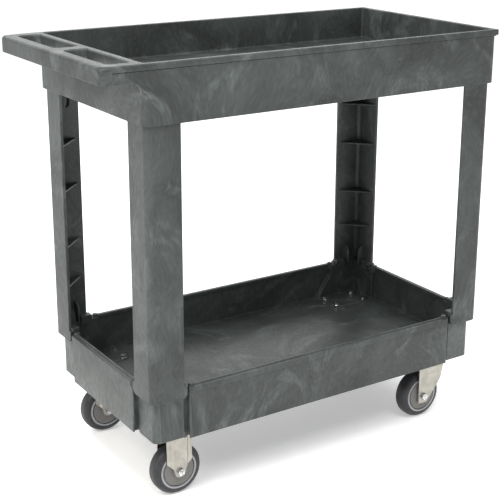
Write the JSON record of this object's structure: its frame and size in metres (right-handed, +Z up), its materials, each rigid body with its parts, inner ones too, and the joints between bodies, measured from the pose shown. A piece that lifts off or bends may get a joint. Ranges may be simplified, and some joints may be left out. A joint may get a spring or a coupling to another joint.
{
  "type": "rolling utility cart",
  "caption": "Rolling utility cart with two deep moulded tray shelves, angle legs, a built-in push handle with hand grips, and fixed and swivel casters.",
  "frame": {"origin": "on the floor, under the middle of the overall length and width", "axes": "+X from the handle towards the far end, +Y to the left when pushing, +Z up"},
  "size_m": [0.88, 0.44, 0.843],
  "materials": {
    "shelf_plastic": "satin, moulded, with pale flow marks",
    "leg_plastic": "satin, moulded, with pale flow marks",
    "fork_steel": "zinc-plated sheet, dull",
    "bright_steel": "bright",
    "zinc_fastener": "bright zinc plate",
    "guard_plastic": "satin",
    "hub_plastic": "satin",
    "bush_plastic": "natural nylon",
    "tread_rubber": "matt, non-marking grey rubber"
  },
  "bodies": {
    "cart": {"upper_shelf": "shelf_plastic", "lower_shelf": "shelf_plastic", "leg_rear_right": "leg_plastic", "leg_rear_left": "leg_plastic", "leg_front_right": "leg_plastic", "leg_front_left": "leg_plastic", "rigid_fork_right": "fork_steel", "rigid_fork_left": "fork_steel", "swivel_plate_right": "fork_steel", "swivel_plate_left": "fork_steel", "kingpin_right": "bright_steel", "kingpin_left": "bright_steel", "caster_bolts_rear_right": "zinc_fastener", "caster_bolts_rear_left": "zinc_fastener", "caster_bolts_front_right": "zinc_fastener", "caster_bolts_front_left": "zinc_fastener", "caster_washers_rear_right": "zinc_fastener", "caster_washers_rear_left": "zinc_fastener", "caster_washers_front_right": "zinc_fastener", "caster_washers_front_left": "zinc_fastener", "caster_nuts_rear_right": "zinc_fastener", "caster_nuts_rear_left": "zinc_fastener", "caster_nuts_front_right": "zinc_fastener", "caster_nuts_front_left": "zinc_fastener", "axle_bolt_rear_right": "zinc_fastener", "axle_bolt_rear_left": "zinc_fastener", "axle_nut_rear_right": "zinc_fastener", "axle_nut_rear_left": "zinc_fastener", "axle_sleeve_rear_right": "bright_steel", "axle_sleeve_rear_left": "bright_steel", "thread_guards_rear_right": "guard_plastic", "thread_guards_rear_left": "guard_plastic"},
    "swivel_right": {"swivel_fork_right": "fork_steel", "swivel_balls_right": "bright_steel", "axle_bolt_front_right": "zinc_fastener", "axle_nut_front_right": "zinc_fastener", "axle_sleeve_front_right": "bright_steel", "thread_guards_front_right": "guard_plastic"},
    "swivel_left": {"swivel_fork_left": "fork_steel", "swivel_balls_left": "bright_steel", "axle_bolt_front_left": "zinc_fastener", "axle_nut_front_left": "zinc_fastener", "axle_sleeve_front_left": "bright_steel", "thread_guards_front_left": "guard_plastic"},
    "wheel_rear_right": {"tyre_rear_right": "tread_rubber", "wheel_hub_rear_right": "hub_plastic", "wheel_bushes_rear_right": "bush_plastic"},
    "wheel_rear_left": {"tyre_rear_left": "tread_rubber", "wheel_hub_rear_left": "hub_plastic", "wheel_bushes_rear_left": "bush_plastic"},
    "wheel_front_right": {"tyre_front_right": "tread_rubber", "wheel_hub_front_right": "hub_plastic", "wheel_bushes_front_right": "bush_plastic"},
    "wheel_front_left": {"tyre_front_left": "tread_rubber", "wheel_hub_front_left": "hub_plastic", "wheel_bushes_front_left": "bush_plastic"}
  },
  "joints": [
    {"name": "swivel_right", "type": "hinge", "parent": "cart", "child": "swivel_right", "pos_m": [0.356, -0.1535, 0.1417], "axis": [0, 0, 1], "continuous": true},
    {"name": "swivel_left", "type": "hinge", "parent": "cart", "child": "swivel_left", "pos_m": [0.356, 0.1535, 0.1417], "axis": [0, 0, 1], "continuous": true},
    {"name": "roll_rear_right", "type": "hinge", "parent": "cart", "child": "wheel_rear_right", "pos_m": [-0.281, -0.1535, 0.051], "axis": [0, 1, 0], "continuous": true},
    {"name": "roll_rear_left", "type": "hinge", "parent": "cart", "child": "wheel_rear_left", "pos_m": [-0.281, 0.1535, 0.051], "axis": [0, 1, 0], "continuous": true},
    {"name": "roll_front_right", "type": "hinge", "parent": "swivel_right", "child": "wheel_front_right", "pos_m": [0.3235, -0.1535, 0.051], "axis": [0, 1, 0], "continuous": true},
    {"name": "roll_front_left", "type": "hinge", "parent": "swivel_left", "child": "wheel_front_left", "pos_m": [0.3235, 0.1535, 0.051], "axis": [0, 1, 0], "continuous": true}
  ]
}
